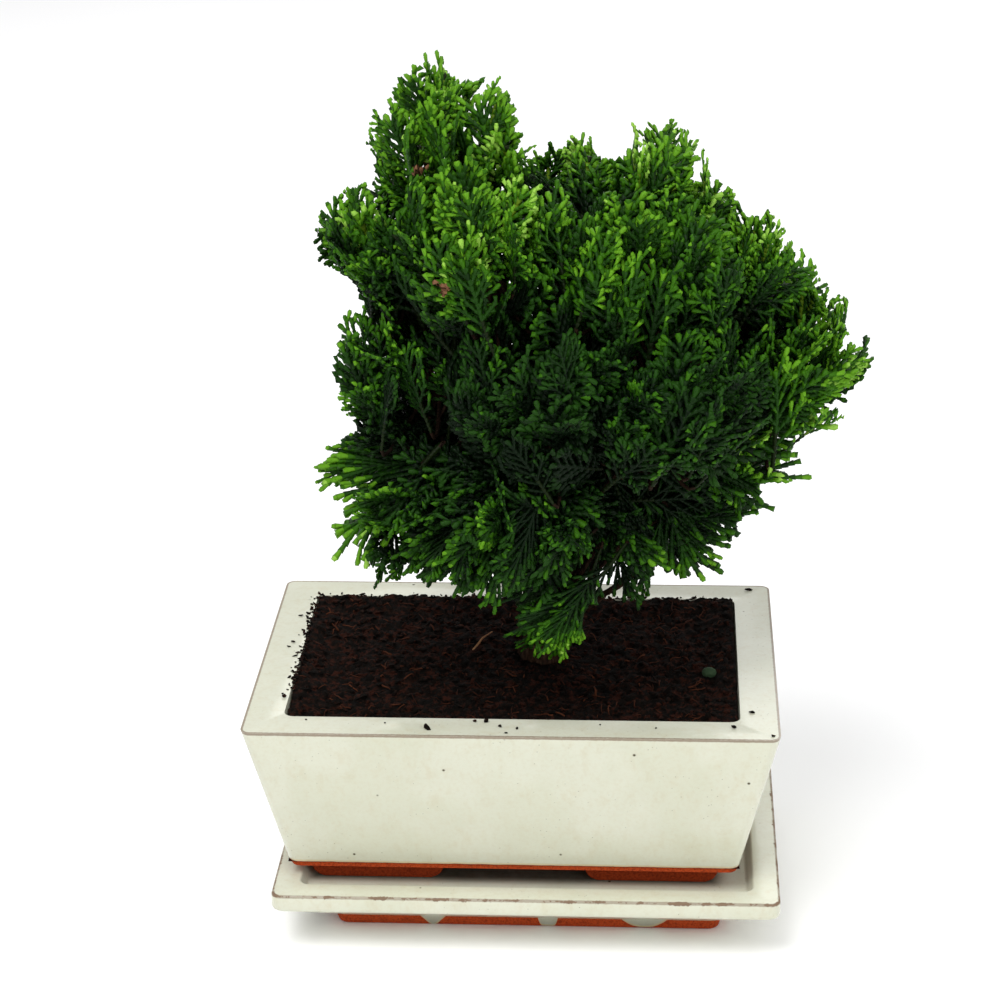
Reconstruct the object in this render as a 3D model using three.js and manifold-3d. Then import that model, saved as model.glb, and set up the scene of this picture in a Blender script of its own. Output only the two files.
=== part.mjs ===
// Small hinoki cypress in a cream-glazed rectangular pot that stands in a drip tray of the same glaze.
// Millimetres, +Z up, the long side of the pot along X, the front of the plant towards -Y.
// The origin is the centre of the tray's flat underside, so the whole plant stands on z = 0.

import * as THREE from "three";
import { mergeVertices } from "three/addons/utils/BufferGeometryUtils.js";
import Module from "manifold-3d";

const wasm = await Module();
wasm.setup();

// ---------------------------------------------------------------- driving dimensions

// Running gap between two solids that touch on the real plant.
const GAP = 0.3;

// Drip tray: a bare clay plinth, a glazed dish that flares out to a short upright lip, a flat rim.
const TRAY = {
  plinth: { w: 114.4, d: 67.0 },
  plinthTop: 3.8,
  flareFoot: { w: 116.4, d: 69.0 },
  flareTop: 14.4,
  outer: { w: 149.4, d: 103.1 },
  rimTop: 19.4,
  rimWidth: 7.7,
  floor: 15.7,
  floorInset: 1.6,
  corner: 3.0,
};

// Pot: four plain walls that widen upwards to a broad flat rim, on four clay feet.
const POT = {
  offset: { x: -3.9, y: 3.7 },
  band: { w: 132.4, d: 84.8 },
  underside: 22.5,
  glazeFoot: 24.2,
  foot: { w: 133.7, d: 86.0 },
  rim: { w: 155.0, d: 108.7 },
  rimTop: 72.3,
  rimWidth: 11.0,
  floorTop: 29.0,
  floorInside: { w: 119.5, d: 73.0 },
  corner: 3.2,
};

const FEET = { length: 40.0, depth: 17.0, setback: 6.0, taper: 1.6, corner: 1.5 };

// Soil: a low, uneven bed that lies a little under the rim in front and reaches it at the back.
const SOIL = { level: 69.7, backRise: 0.018, bump: 0.75, columns: 12, rows: 8, flatRadius: 13.0 };

// Trunk: from a flat cut on the soil, flared at the root, leaning left to the leader.
const TRUNK = {
  route: [
    [3.0, 9.0, SOIL.level + GAP],
    [5.5, 9.5, 92.0],
    [4.0, 8.0, 122.0],
    [-3.0, 6.0, 155.0],
    [-12.0, 4.0, 188.0],
    [-19.0, 3.0, 221.0],
  ],
  rootRadius: 4.9,
  tipRadius: 1.3,
  flare: 3.1,
  flareHeight: 9.0,
  sides: 9,
  steps: 11,
};

// Boughs: one tapering limb from the trunk to each outer mass of foliage.
const BOUGH = { sides: 4, steps: 3, rootRadius: 1.5, perLength: 0.016, tipRadius: 1.15, enter: 0.6, sag: 0.4 };

// The middle of the crown, which sprays point away from, and the height where they start to droop.
const HEART = new THREE.Vector3(12.0, 6.0, 148.0);
const DROOP_BELOW = 140.0;

// Masses of foliage: middle, reach along X, Y and Z, and the height at which the bough leaves the trunk.
// A mass with no bough grows straight from the trunk's tip.
const MASSES = [
  { name: "leader_top", at: [-24.0, 2.0, 234.5], reach: [28.0, 26.0, 28.0] },
  { name: "upper_left", at: [-42.0, -2.0, 205.0], reach: [25.0, 24.0, 21.0], from: 170 },
  { name: "top_right", at: [36.0, 8.0, 216.0], reach: [25.5, 25.0, 28.0], from: 124 },
  { name: "upper_front", at: [-9.0, -28.0, 211.0], reach: [26.0, 21.0, 29.0], from: 160 },
  { name: "upper_right_front", at: [35.0, -26.0, 203.0], reach: [27.0, 20.0, 24.0], from: 143 },
  { name: "right_upper", at: [66.0, 2.0, 193.0], reach: [25.0, 27.0, 24.0], from: 117 },
  { name: "right", at: [77.0, -5.0, 169.0], reach: [28.0, 28.0, 25.0], from: 101 },
  { name: "right_lower", at: [67.0, -11.0, 145.0], reach: [30.5, 28.0, 22.0], from: 92 },
  { name: "right_bottom", at: [46.0, -14.0, 118.0], reach: [31.0, 27.0, 22.0], from: 80 },
  { name: "left_middle", at: [-35.0, -7.0, 171.0], reach: [25.0, 27.0, 28.0], from: 136 },
  { name: "left_lower", at: [-39.0, -11.0, 130.5], reach: [29.0, 28.0, 29.0], from: 95 },
  { name: "centre_front", at: [9.0, -37.0, 172.0], reach: [30.0, 22.0, 30.0], from: 131 },
  { name: "centre_lower", at: [-4.0, -33.0, 130.0], reach: [33.0, 23.0, 27.0], from: 103 },
  { name: "front_droop", at: [9.0, -28.0, 105.0], reach: [21.0, 19.0, 20.0], from: 86 },
  { name: "right_front", at: [44.0, -36.0, 168.0], reach: [27.0, 22.0, 30.0], from: 111 },
  { name: "back_top", at: [13.0, 28.0, 203.0], reach: [28.0, 24.0, 26.0], from: 151 },
  { name: "back_left", at: [-30.0, 34.0, 168.0], reach: [29.0, 26.0, 33.0], from: 127 },
  { name: "back_right", at: [54.0, 37.0, 167.0], reach: [31.0, 25.0, 33.0], from: 107 },
  { name: "back_centre", at: [11.0, 46.0, 160.0], reach: [27.0, 20.0, 31.0], from: 120 },
  { name: "back_left_lower", at: [-26.0, 35.0, 124.0], reach: [30.0, 26.0, 22.0], from: 89 },
  { name: "back_right_lower", at: [34.0, 38.0, 122.0], reach: [32.0, 24.0, 23.0], from: 85 },
];

// Growth inside a mass: twigs from one stem, each ending in a flat fan of blunt fingers.
const GROWTH = {
  cellMargin: 0.3,
  stemRadius: 1.1,
  stalk: 1.3,
  trials: 89,
  shoots: 9,
  spacing: 12.0,
  innermost: 0.5,
  outermost: 0.97,
  forward: 0.25,
  minFan: 12.0,
  maxFan: 40.0,
  sizes: [1, 0.84, 0.7, 0.58],
  roll: 1.9,
  thickness: 1.4,
  crossing: 0.0,
  core: 0.4,
};

// One half of a fan's outline: distance along it and away from its middle, both as parts of its length.
const FAN_HALF = [
  [0.42, 0.46],
  [0.53, 0.2],
  [0.83, 0.3],
  [0.84, 0.12],
];

// ---------------------------------------------------------------- materials

const glaze = { color: 0xdfdfcb, roughness: 0.22, metalness: 0 };
const clay = { color: 0x7b2d13, roughness: 0.85, metalness: 0 };
const earth = { color: 0x1c130d, roughness: 1, metalness: 0 };
const bark = { color: 0x5a3d28, roughness: 0.9, metalness: 0 };
const leafShades = [0x2f5a1c, 0x3a6e1f, 0x284f1b, 0x4a8226];

// ---------------------------------------------------------------- solids

function toSolid(geometry) {
  const bare = geometry.index ? geometry.toNonIndexed() : geometry.clone();
  bare.deleteAttribute("normal");
  bare.deleteAttribute("uv");
  const merged = mergeVertices(bare, 1e-4);
  const mesh = new wasm.Mesh({
    numProp: 3,
    vertProperties: merged.attributes.position.array,
    triVerts: merged.index.array,
  });
  return new wasm.Manifold(mesh);
}

function addPart(group, name, solid, finish) {
  const mesh = solid.getMesh();
  const geometry = new THREE.BufferGeometry();
  geometry.setAttribute("position", new THREE.BufferAttribute(mesh.vertProperties, 3));
  geometry.setIndex(new THREE.BufferAttribute(mesh.triVerts, 1));
  geometry.computeVertexNormals();
  const part = new THREE.Mesh(geometry, new THREE.MeshStandardMaterial(finish));
  part.name = name;
  group.add(part);
}

// The largest of the pieces that a cut leaves.
function mainPiece(solid) {
  const pieces = solid.decompose();
  return pieces.reduce((best, piece) => (piece.volume() > best.volume() ? piece : best));
}

function union(solids) {
  return solids.reduce((whole, solid) => whole.add(solid));
}

function roundedRectangle(w, d, radius) {
  const shape = new THREE.Shape();
  const x = w / 2 - radius;
  const y = d / 2 - radius;
  shape.absarc(x, -y, radius, -Math.PI / 2, 0);
  shape.absarc(x, y, radius, 0, Math.PI / 2);
  shape.absarc(-x, y, radius, Math.PI / 2, Math.PI);
  shape.absarc(-x, -y, radius, Math.PI, Math.PI * 1.5);
  return shape;
}

// A straight-sided block with rounded upright corners whose plan grows or shrinks from z0 to z1.
function taperedBlock(lower, upper, z0, z1, radius, curveSegments = 3) {
  const geometry = new THREE.ExtrudeGeometry(roundedRectangle(upper.w, upper.d, radius), {
    depth: z1 - z0,
    bevelEnabled: false,
    curveSegments,
  });
  const position = geometry.attributes.position;
  for (let i = 0; i < position.count; i += 1) {
    if (position.getZ(i) < (z1 - z0) / 2) {
      position.setX(i, (position.getX(i) * lower.w) / upper.w);
      position.setY(i, (position.getY(i) * lower.d) / upper.d);
    }
  }
  geometry.translate(0, 0, z0);
  return toSolid(geometry);
}

function grown(plan, by) {
  return { w: plan.w + 2 * by, d: plan.d + 2 * by };
}

// A tapering limb: a many-sided bar laid along a curve, its radius given at each part of its length.
function limb(curve, sides, steps, radiusAt) {
  const section = new THREE.Shape();
  for (let i = 0; i < sides; i += 1) {
    const angle = (i / sides) * Math.PI * 2;
    const place = i === 0 ? "moveTo" : "lineTo";
    section[place](Math.cos(angle), Math.sin(angle));
  }
  const geometry = new THREE.ExtrudeGeometry(section, { depth: 1, steps, bevelEnabled: false });
  const frames = curve.computeFrenetFrames(steps);
  const position = geometry.attributes.position;
  const point = new THREE.Vector3();
  for (let i = 0; i < position.count; i += 1) {
    const step = Math.round(position.getZ(i) * steps);
    const radius = radiusAt(step / steps);
    point.copy(curve.getPointAt(step / steps));
    point.addScaledVector(frames.normals[step], position.getX(i) * radius);
    point.addScaledVector(frames.binormals[step], position.getY(i) * radius);
    position.setXYZ(i, point.x, point.y, point.z);
  }
  return toSolid(geometry);
}

function straightLimb(from, to, sides, rootRadius, tipRadius) {
  const curve = new THREE.LineCurve3(from, to);
  return limb(curve, sides, 1, (t) => rootRadius + (tipRadius - rootRadius) * t);
}

// ---------------------------------------------------------------- tray, pot and feet

const plant = new THREE.Group();

function makeTray() {
  const opening = grown(TRAY.outer, -TRAY.rimWidth);
  const floor = grown(opening, -TRAY.floorInset);
  const plinth = taperedBlock(TRAY.plinth, TRAY.flareFoot, 0, TRAY.plinthTop, TRAY.corner);
  const flare = taperedBlock(TRAY.flareFoot, TRAY.outer, TRAY.plinthTop, TRAY.flareTop, TRAY.corner);
  const lip = taperedBlock(TRAY.outer, TRAY.outer, TRAY.flareTop, TRAY.rimTop, TRAY.corner);
  const recess = taperedBlock(floor, grown(opening, 0.4), TRAY.floor, TRAY.rimTop + 1, TRAY.corner);
  return union([plinth, flare, lip]).subtract(recess);
}

function potInside(clearance) {
  const floor = grown(POT.floorInside, -clearance);
  const opening = grown(POT.rim, -POT.rimWidth - clearance);
  return taperedBlock(floor, opening, POT.floorTop + clearance, POT.rimTop + 2, POT.corner);
}

function makePot() {
  const band = taperedBlock(POT.band, POT.band, POT.underside, POT.glazeFoot + 1, POT.corner);
  const walls = taperedBlock(POT.foot, POT.rim, POT.glazeFoot, POT.rimTop, POT.corner);
  return walls.add(band).subtract(potInside(0)).translate([POT.offset.x, POT.offset.y, 0]);
}

function makeFoot(sideX, sideY) {
  const bottom = TRAY.floor + GAP;
  const top = POT.underside - GAP;
  const upper = { w: FEET.length, d: FEET.depth };
  const x = POT.offset.x + sideX * (POT.foot.w / 2 - FEET.setback - FEET.length / 2);
  const y = POT.offset.y + sideY * (POT.foot.d / 2 - FEET.setback - FEET.depth / 2);
  const block = taperedBlock(grown(upper, -FEET.taper), upper, bottom, top, FEET.corner, 1);
  return block.translate([x, y, 0]);
}

addPart(plant, "tray", makeTray(), glaze);
addPart(plant, "pot", makePot(), glaze);
for (const [front, sideY] of [["front", -1], ["back", 1]]) {
  for (const [side, sideX] of [["left", -1], ["right", 1]]) {
    addPart(plant, `pot_foot_${front}_${side}`, makeFoot(sideX, sideY), clay);
  }
}

// ---------------------------------------------------------------- soil

// Height of the bed: slow waves and small lumps, flat round the trunk where it meets the soil.
function soilHeight(x, y) {
  const waves = Math.sin(x * 0.13 + 0.6) * Math.cos(y * 0.17 - 0.4);
  const lumps = Math.sin(x * 0.61 + y * 0.29) * Math.sin(y * 0.53 - x * 0.23 + 1.1);
  const uneven = (waves * 0.6 + lumps * 0.4) * SOIL.bump + (y - TRUNK.route[0][1]) * SOIL.backRise;
  const away = Math.hypot(x - TRUNK.route[0][0], y - TRUNK.route[0][1]) - SOIL.flatRadius;
  return SOIL.level + uneven * THREE.MathUtils.smoothstep(away, 0, 12);
}

function makeSoil() {
  const bottom = POT.floorTop - 1;
  const height = SOIL.level - bottom;
  const geometry = new THREE.BoxGeometry(POT.rim.w, POT.rim.d, height, SOIL.columns, SOIL.rows, 1);
  geometry.translate(POT.offset.x, POT.offset.y, bottom + height / 2);
  const position = geometry.attributes.position;
  for (let i = 0; i < position.count; i += 1) {
    if (position.getZ(i) > bottom + height / 2) {
      position.setZ(i, soilHeight(position.getX(i), position.getY(i)));
    }
  }
  return toSolid(geometry).intersect(potInside(GAP).translate([POT.offset.x, POT.offset.y, 0]));
}

addPart(plant, "soil", makeSoil(), earth);

// ---------------------------------------------------------------- trunk and boughs

const trunkCurve = new THREE.CatmullRomCurve3(TRUNK.route.map((p) => new THREE.Vector3(...p)));
const trunkLength = trunkCurve.getLength();

function trunkRadius(t) {
  const flare = TRUNK.flare * Math.exp((-t * trunkLength) / TRUNK.flareHeight * 2.2);
  return TRUNK.rootRadius + (TRUNK.tipRadius - TRUNK.rootRadius) * t ** 0.8 + flare;
}

// The curve leaves the soil almost upright; the cut under the trunk is level with the soil.
function makeTrunk(extra) {
  const whole = limb(trunkCurve, TRUNK.sides, TRUNK.steps, (t) => trunkRadius(t) + extra);
  const room = 400;
  const below = new THREE.BoxGeometry(room, room, room);
  below.translate(0, 0, TRUNK.route[0][2] - extra - room / 2);
  return whole.subtract(toSolid(below));
}

// The point of the trunk's middle line at a given height.
function trunkAt(height) {
  let low = 0;
  let high = 1;
  for (let i = 0; i < 30; i += 1) {
    const middle = (low + high) / 2;
    if (trunkCurve.getPointAt(middle).z < height) low = middle;
    else high = middle;
  }
  return trunkCurve.getPointAt(low);
}

for (const mass of MASSES) {
  mass.middle = new THREE.Vector3(...mass.at);
  mass.reachVector = new THREE.Vector3(...mass.reach);
  mass.size = Math.cbrt(mass.reach[0] * mass.reach[1] * mass.reach[2]);
}

// A bough leaves the trunk a little below its mass, sags, then rises into it.
function boughCurve(mass) {
  const root = trunkAt(mass.from);
  const length = root.distanceTo(mass.middle);
  const tip = root.clone().lerp(mass.middle, 1 - (BOUGH.enter * mass.size) / length);
  const bend = root.clone().lerp(tip, 0.5);
  bend.z = root.z + (tip.z - root.z) * BOUGH.sag;
  return new THREE.QuadraticBezierCurve3(root, bend, tip);
}

const trunkSolid = makeTrunk(0);
const trunkRoom = makeTrunk(GAP);
addPart(plant, "trunk", trunkSolid, bark);

let limbRoom = trunkRoom;
for (const mass of MASSES) {
  if (mass.from) {
    const curve = boughCurve(mass);
    const rootRadius = BOUGH.rootRadius + curve.getLength() * BOUGH.perLength;
    const radiusAt = (t) => rootRadius + (BOUGH.tipRadius - rootRadius) * t;
    const bough = mainPiece(limb(curve, BOUGH.sides, BOUGH.steps, radiusAt).subtract(trunkRoom));
    limbRoom = limbRoom.add(limb(curve, BOUGH.sides, BOUGH.steps, (t) => radiusAt(t) + GAP));
    mass.stemFoot = curve.getPointAt(1);
    mass.stemAim = curve.getTangentAt(1);
    addPart(plant, `bough_${mass.name}`, bough, bark);
  } else {
    mass.stemFoot = trunkCurve.getPointAt(1);
    mass.stemAim = trunkCurve.getTangentAt(1);
  }
}

// ---------------------------------------------------------------- foliage

// Repeatable random numbers from 0 to 1.
function seeded(seed) {
  let state = seed;
  return () => {
    state = (state * 48271) % 2147483647;
    return state / 2147483647;
  };
}

// A mass keeps to an ellipsoid of its reach, cut by flat faces half way to each neighbour.
function insideCell(mass, point) {
  const away = point.clone().sub(mass.middle);
  if (away.clone().divide(mass.reachVector).lengthSq() > 1) return false;
  const own = away.lengthSq() - mass.size ** 2;
  for (const other of MASSES) {
    if (other === mass) continue;
    const theirs = point.distanceToSquared(other.middle) - other.size ** 2;
    const span = mass.middle.distanceTo(other.middle);
    if ((theirs - own) / (2 * span) < GROWTH.cellMargin) return false;
  }
  return true;
}

// How far out of the middle a point can go, as a part of the reach, before it leaves the cell.
function cellEdge(mass, direction) {
  for (let share = GROWTH.outermost; share > 0; share -= 0.03) {
    if (insideCell(mass, pointInMass(mass, direction, share))) return share;
  }
  return 0;
}

function pointInMass(mass, direction, share) {
  return direction.clone().multiply(mass.reachVector).multiplyScalar(share).add(mass.middle);
}

// A flat shoot in the XY plane: it widens from a thin foot along +X into a fan of blunt fingers.
function shootGeometry(whole, fan, width) {
  const stalk = GROWTH.stalk / 2;
  const side = FAN_HALF.map(([along, aside]) => [whole - fan * (1 - along), aside * width]);
  const half = [[0, stalk], ...side];
  const near = half.map(([x, y]) => new THREE.Vector2(x, -y));
  const far = half.map(([x, y]) => new THREE.Vector2(x, y));
  const shape = new THREE.Shape([...near, new THREE.Vector2(whole, 0), ...far.reverse()]);
  const geometry = new THREE.ExtrudeGeometry(shape, { depth: GROWTH.thickness, bevelEnabled: false });
  geometry.translate(0, 0, -GROWTH.thickness / 2);
  return geometry;
}

function placement(foot, along, face) {
  const aside = new THREE.Vector3().crossVectors(face, along).normalize();
  const up = new THREE.Vector3().crossVectors(along, aside);
  return new THREE.Matrix4().makeBasis(along, aside, up).setPosition(foot);
}

function fitsCell(mass, geometry) {
  const position = geometry.attributes.position;
  const corner = new THREE.Vector3();
  for (let i = 0; i < position.count; i += 1) {
    if (!insideCell(mass, corner.fromBufferAttribute(position, i))) return false;
  }
  return true;
}

// Shoots head away from the heart of the crown, upwards near the top and drooping low down.
function headingOf(mass) {
  const heading = mass.middle.clone().sub(HEART).normalize();
  heading.z += THREE.MathUtils.clamp((mass.middle.z - DROOP_BELOW) / 50, -0.5, 1.0);
  return heading.normalize();
}

// The flat of a fan looks out of the crown and a little up.
function faceOf(mass) {
  const face = mass.middle.clone().sub(HEART).normalize();
  face.z = face.z * 0.4 + 0.45;
  return face.normalize();
}

// One shoot, from the stem to the edge of the cell. It is tried with its full fan, then with smaller
// ones, and left out where it would leave the cell, cross another shoot or touch a limb.
function growShoot(mass, grown, stem, outward, roll) {
  const share = cellEdge(mass, outward);
  if (share < GROWTH.innermost) return;
  const tip = pointInMass(mass, outward, share);
  if (grown.some((other) => other.tip.distanceTo(tip) < GROWTH.spacing)) return;
  const across = stem.closestPointToPointParameter(tip, true);
  const along = THREE.MathUtils.clamp(across - GROWTH.forward, 0.65, 0.98);
  const foot = stem.at(along, new THREE.Vector3());
  const aim = tip.clone().sub(foot);
  const whole = aim.length();
  aim.normalize();
  const face = faceOf(mass).applyAxisAngle(aim, roll);
  for (const size of GROWTH.sizes) {
    const fan = Math.min(whole * 0.88, GROWTH.maxFan) * size;
    if (fan < GROWTH.minFan) return;
    const geometry = shootGeometry(whole, fan, fan).applyMatrix4(placement(foot, aim, face));
    if (fitsCell(mass, geometry)) {
      const shoot = toSolid(geometry);
      const open = shoot.subtract(mass.core);
      const blocked = grown.some((other) => other.open.intersect(open).volume() > GROWTH.crossing);
      if (!blocked && shoot.intersect(limbRoom).volume() === 0) {
        grown.push({ shoot, open, tip });
        return;
      }
    }
  }
}

// The dense, dark middle of a mass: a faceted lump that stays well inside the cell.
function makeCore(mass) {
  const geometry = new THREE.IcosahedronGeometry(1, 0);
  const position = geometry.attributes.position;
  const direction = new THREE.Vector3();
  for (let i = 0; i < position.count; i += 1) {
    direction.fromBufferAttribute(position, i);
    const share = cellEdge(mass, direction) * GROWTH.core;
    const point = pointInMass(mass, direction, share);
    position.setXYZ(i, point.x, point.y, point.z);
  }
  return mainPiece(toSolid(geometry).subtract(limbRoom));
}

function growMass(mass, seed) {
  const random = seeded(seed);
  mass.heading = headingOf(mass);
  const start = mass.stemFoot.clone().addScaledVector(mass.stemAim, GAP);
  const stem = new THREE.Line3(start, mass.middle.clone().addScaledVector(mass.heading, 0.1 * mass.size));
  const bar = straightLimb(stem.start, stem.end, 4, GROWTH.stemRadius, GROWTH.stemRadius * 0.7);
  const grown = [];
  mass.core = makeCore(mass);
  const turn = random() * Math.PI * 2;
  for (let trial = 0; trial < GROWTH.trials && grown.length < GROWTH.shoots; trial += 1) {
    // Directions spread evenly over the whole sphere, taken in an order that jumps about.
    const index = (trial * 13) % GROWTH.trials;
    const height = 1 - (2 * index + 1) / GROWTH.trials;
    const angle = index * 2.39996 + turn;
    const ring = Math.sqrt(1 - height * height);
    const outward = new THREE.Vector3(ring * Math.cos(angle), ring * Math.sin(angle), height);
    growShoot(mass, grown, stem, outward, (random() - 0.5) * GROWTH.roll);
  }
  return mainPiece(union([mainPiece(bar.subtract(limbRoom)), mass.core, ...grown.map((one) => one.shoot)]));
}

MASSES.forEach((mass, index) => {
  const shade = { color: leafShades[index % leafShades.length], roughness: 0.6, metalness: 0 };
  addPart(plant, `foliage_${mass.name}`, growMass(mass, 1009 + index * 7919), shade);
});

export default plant;
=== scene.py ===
"""A small potted hinoki cypress on its frame: glazed pot and tray, soil, bark and scale-leaf sprays."""

import math

import bmesh
import bpy
import numpy as np
from mathutils import Euler, Matrix, Vector, noise


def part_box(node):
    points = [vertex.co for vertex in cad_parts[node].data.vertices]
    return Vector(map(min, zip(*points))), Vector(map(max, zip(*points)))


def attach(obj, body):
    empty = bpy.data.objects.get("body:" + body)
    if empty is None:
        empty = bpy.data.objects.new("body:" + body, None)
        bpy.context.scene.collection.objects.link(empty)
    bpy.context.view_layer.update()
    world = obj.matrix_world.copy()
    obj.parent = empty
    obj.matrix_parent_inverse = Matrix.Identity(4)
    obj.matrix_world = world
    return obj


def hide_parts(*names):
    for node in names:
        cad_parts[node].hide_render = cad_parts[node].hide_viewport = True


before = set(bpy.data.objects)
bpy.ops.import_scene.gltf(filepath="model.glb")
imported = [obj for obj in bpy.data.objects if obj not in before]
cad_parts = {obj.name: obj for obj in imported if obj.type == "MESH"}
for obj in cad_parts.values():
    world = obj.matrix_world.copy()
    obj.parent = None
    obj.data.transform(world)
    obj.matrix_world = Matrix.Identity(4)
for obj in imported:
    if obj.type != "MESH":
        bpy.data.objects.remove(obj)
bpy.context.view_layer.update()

# ------------------------------ studio
# A white table under a large soft box and an even white room, with a long lens that looks a little down
# on the plant. None of it belongs to the part.

MM = 0.001
CAMERA_PLACE = Vector((38.9, -749.6, 429.1)) * MM
CAMERA_DOWN = math.radians(22.064)
CAMERA_LEFT = math.radians(3.62454)
CAMERA_ROLL = math.radians(-0.8416)
CAMERA_LENS = 98.85

scene = bpy.context.scene
link = scene.collection.objects.link
camera_data = bpy.data.cameras.new("studio_camera")
camera_data.lens = CAMERA_LENS
camera_data.sensor_width = 36.0
camera_data.clip_start = 0.05
camera_data.clip_end = 30.0
camera = bpy.data.objects.new("studio_camera", camera_data)
aim = Euler((math.pi / 2 - CAMERA_DOWN, 0, CAMERA_LEFT), "XYZ").to_matrix()
turn_about_view = Matrix.Rotation(CAMERA_ROLL, 3, "Z")
camera.matrix_world = Matrix.Translation(CAMERA_PLACE) @ (aim @ turn_about_view).to_4x4()
link(camera)
scene.camera = camera
scene.view_settings.view_transform = "Standard"


def add_soft_box(name, place, size, power):
    """A square lamp that looks at the middle of the plant."""
    data = bpy.data.lights.new(name, "AREA")
    data.shape = "SQUARE"
    data.size = size
    data.energy = power
    lamp = bpy.data.objects.new(name, data)
    place = Vector(place)
    look = Vector((0.0, 0.0, 0.12)) - place
    lamp.matrix_world = Matrix.Translation(place) @ look.to_track_quat("-Z", "Y").to_matrix().to_4x4()
    link(lamp)


add_soft_box("key_box", (-0.45, -0.65, 1.45), 0.9, 17.5)
add_soft_box("fill_box", (0.9, -0.9, 0.7), 0.9, 6.0)
add_soft_box("rear_box", (0.2, 1.2, 1.1), 0.9, 6.0)

room = bpy.data.worlds.new("white_room")
room.use_nodes = True
background = room.node_tree.nodes["Background"].inputs
background["Color"].default_value = (1.0, 1.0, 1.0, 1.0)
background["Strength"].default_value = 0.64
scene.world = room


def deselect_all():
    bpy.ops.object.select_all(action="DESELECT")


deselect_all()
bpy.ops.mesh.primitive_plane_add(size=12.0, location=(0, 0, 0))
table = bpy.context.object
table.name = "table"
table_finish = bpy.data.materials.new("white_table")
table_finish.use_nodes = True
table_shader = table_finish.node_tree.nodes["Principled BSDF"].inputs
table_shader["Base Color"].default_value = (0.97, 0.97, 0.975, 1)
table_shader["Roughness"].default_value = 0.9
table.data.materials.append(table_finish)

# ------------------------------ drip tray
# A shallow slip-cast dish on a bare clay plinth. Its cream glaze was poured, so it is thin and brown on
# the sharp edge of the lip, and three runs of it hang over the plinth in front.

TRAY_PLINTH = (114.4, 67.0)
TRAY_FLARE_FOOT = (116.4, 69.0)
TRAY_OUTER = (149.4, 103.1)
TRAY_OPENING = (134.0, 87.7)
TRAY_FLOOR = (130.8, 84.5)
TRAY_HEIGHTS = {"plinth": 3.8, "flare": 14.4, "rim": 19.4, "floor": 15.7}
CORNER = 3.0
TRAY_EDGE = 0.7
GLAZE_CREAM = (0.604, 0.612, 0.500)
GLAZE_POOLED = (0.555, 0.566, 0.440)
GLAZE_STAIN = (0.500, 0.430, 0.270)
GLAZE_THIN = (0.620, 0.420, 0.170)
GLAZE_BROKEN = (0.150, 0.080, 0.045)
GLAZE_SPECK = (0.075, 0.060, 0.030)
# The colour of the painted shade on the tray under the pot.
UNDER_POT_SHADE = (0.032, 0.032, 0.020)
CLAY_RED = (0.330, 0.046, 0.011)
# A lighter copy of the clay red for the tray's plinth and the pot's foot band: painted light against the
# shadow under their flaring walls.
CLAY_RED_LIT = (0.450, 0.062, 0.013)
CLAY_DARK = (0.170, 0.022, 0.006)
SPECK_CELLS = 0.11
DUST_CELLS = 0.5
BREAK_DEPTH = 0.35
DRY = {"Specular IOR Level": 0.08}


def arithmetic(operation, wire_is_last=False):
    """A method that adds the Math node for one operation."""

    def method(wire, *others):
        values = (*others, wire) if wire_is_last else (wire, *others)
        return wire.finish.node("Math", {"operation": operation}, dict(enumerate(values)))

    return method


class Wire:
    """A socket of a finish. Arithmetic on it adds the Math node that works it out."""

    def __init__(self, finish, socket):
        self.finish = finish
        self.socket = socket

    __add__ = arithmetic("ADD")
    __radd__ = arithmetic("ADD", wire_is_last=True)
    __sub__ = arithmetic("SUBTRACT")
    __rsub__ = arithmetic("SUBTRACT", wire_is_last=True)
    __mul__ = arithmetic("MULTIPLY")
    __rmul__ = arithmetic("MULTIPLY", wire_is_last=True)
    __abs__ = arithmetic("ABSOLUTE")
    __pow__ = arithmetic("POWER")
    least = arithmetic("MINIMUM")
    most = arithmetic("MAXIMUM")

    def step(self, low, high):
        """0 below low and 1 above high, with a soft rise between them."""
        settings = {"interpolation_type": "SMOOTHSTEP"}
        return self.finish.node("MapRange", settings, {"Value": self, "From Min": low, "From Max": high})


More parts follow.
